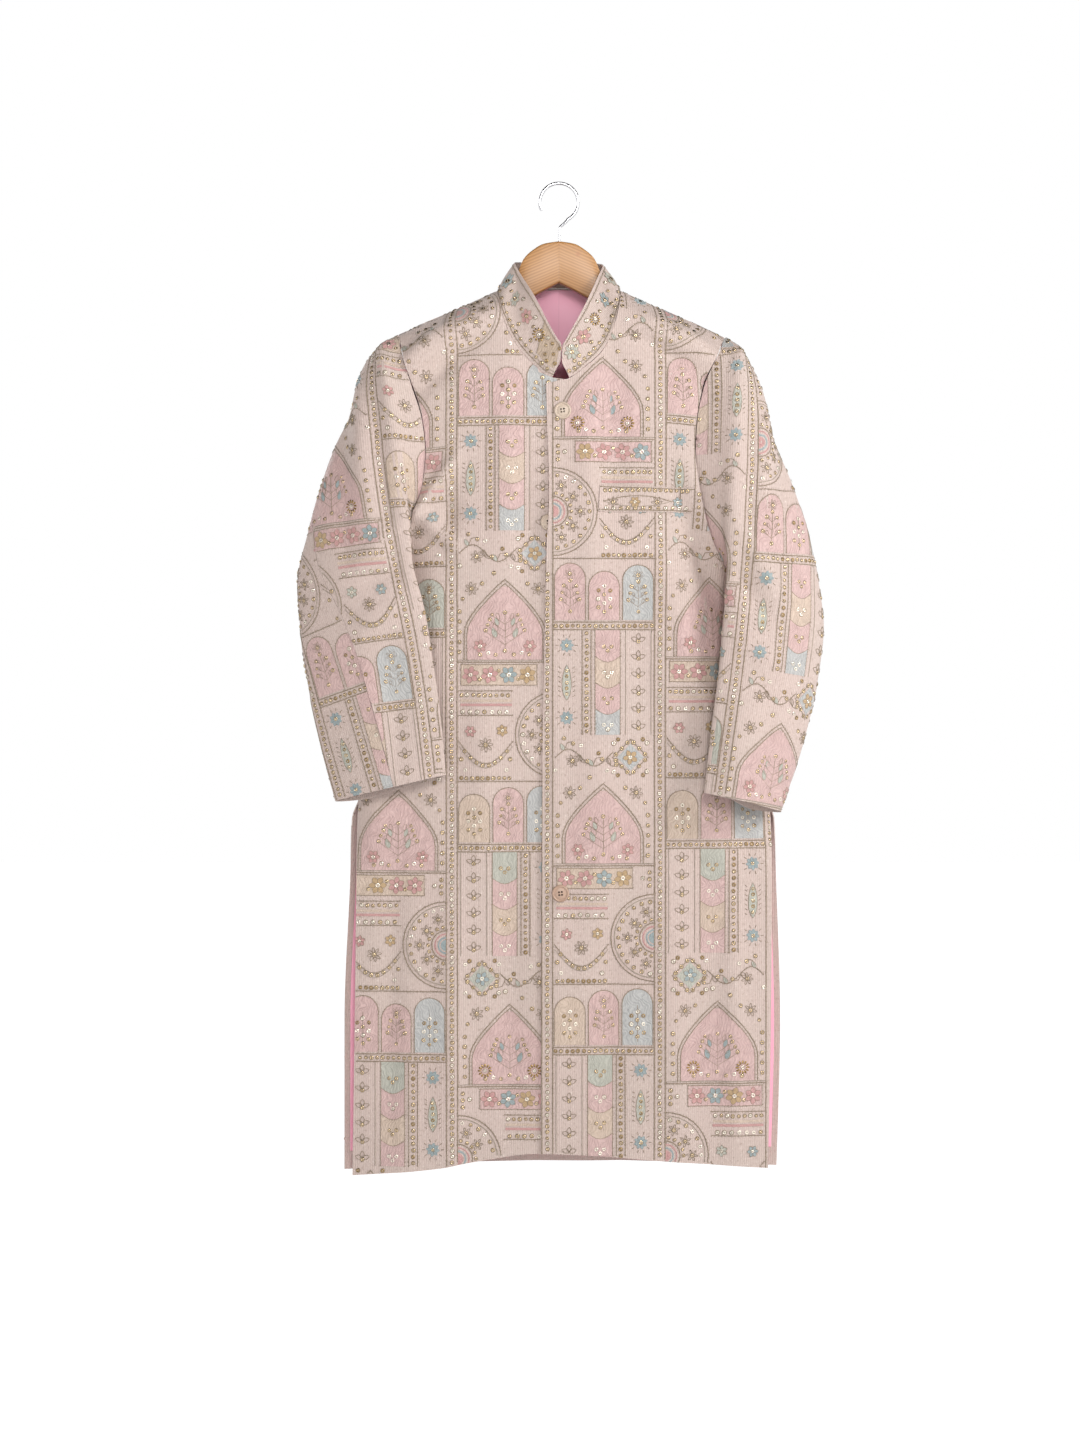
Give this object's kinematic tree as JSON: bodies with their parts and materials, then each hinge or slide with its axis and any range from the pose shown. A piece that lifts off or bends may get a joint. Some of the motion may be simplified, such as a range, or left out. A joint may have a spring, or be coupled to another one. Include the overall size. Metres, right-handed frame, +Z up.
{
  "type": "sherwani coat on a wooden hanger",
  "caption": "Knee-length band-collar sherwani coat with lapped fronts, two-piece sleeves, side slits, chest welt and pink lining, hung on a wooden hanger with a wire hook.",
  "frame": {"origin": "inside top of the hanger's hook, where a rail carries it", "axes": "+Z up, the coat's front toward -Y, +X toward the viewer's right"},
  "size_m": [0.6285, 0.114, 1.1898],
  "materials": {
    "embroidered_cloth": "fine corded cotton-silk with thread work and small metal rings",
    "pink_lining": "satin lining",
    "button_cream": "satin",
    "hanger_wood": "clear satin lacquer",
    "hook_chrome": "polished"
  },
  "bodies": {
    "root": {"front_over": "embroidered_cloth", "front_under": "embroidered_cloth", "back_left": "embroidered_cloth", "back_right": "embroidered_cloth", "back_lining_left": "pink_lining", "back_lining_right": "pink_lining", "sleeve_upper_left": "embroidered_cloth", "sleeve_under_left": "embroidered_cloth", "sleeve_upper_right": "embroidered_cloth", "sleeve_under_right": "embroidered_cloth", "collar": "embroidered_cloth", "chest_welt": "embroidered_cloth", "button_top": "button_cream", "button_middle": "button_cream", "button_low": "button_cream", "hanger_wood": "hanger_wood", "hanger_hook": "hook_chrome"}
  },
  "joints": []
}
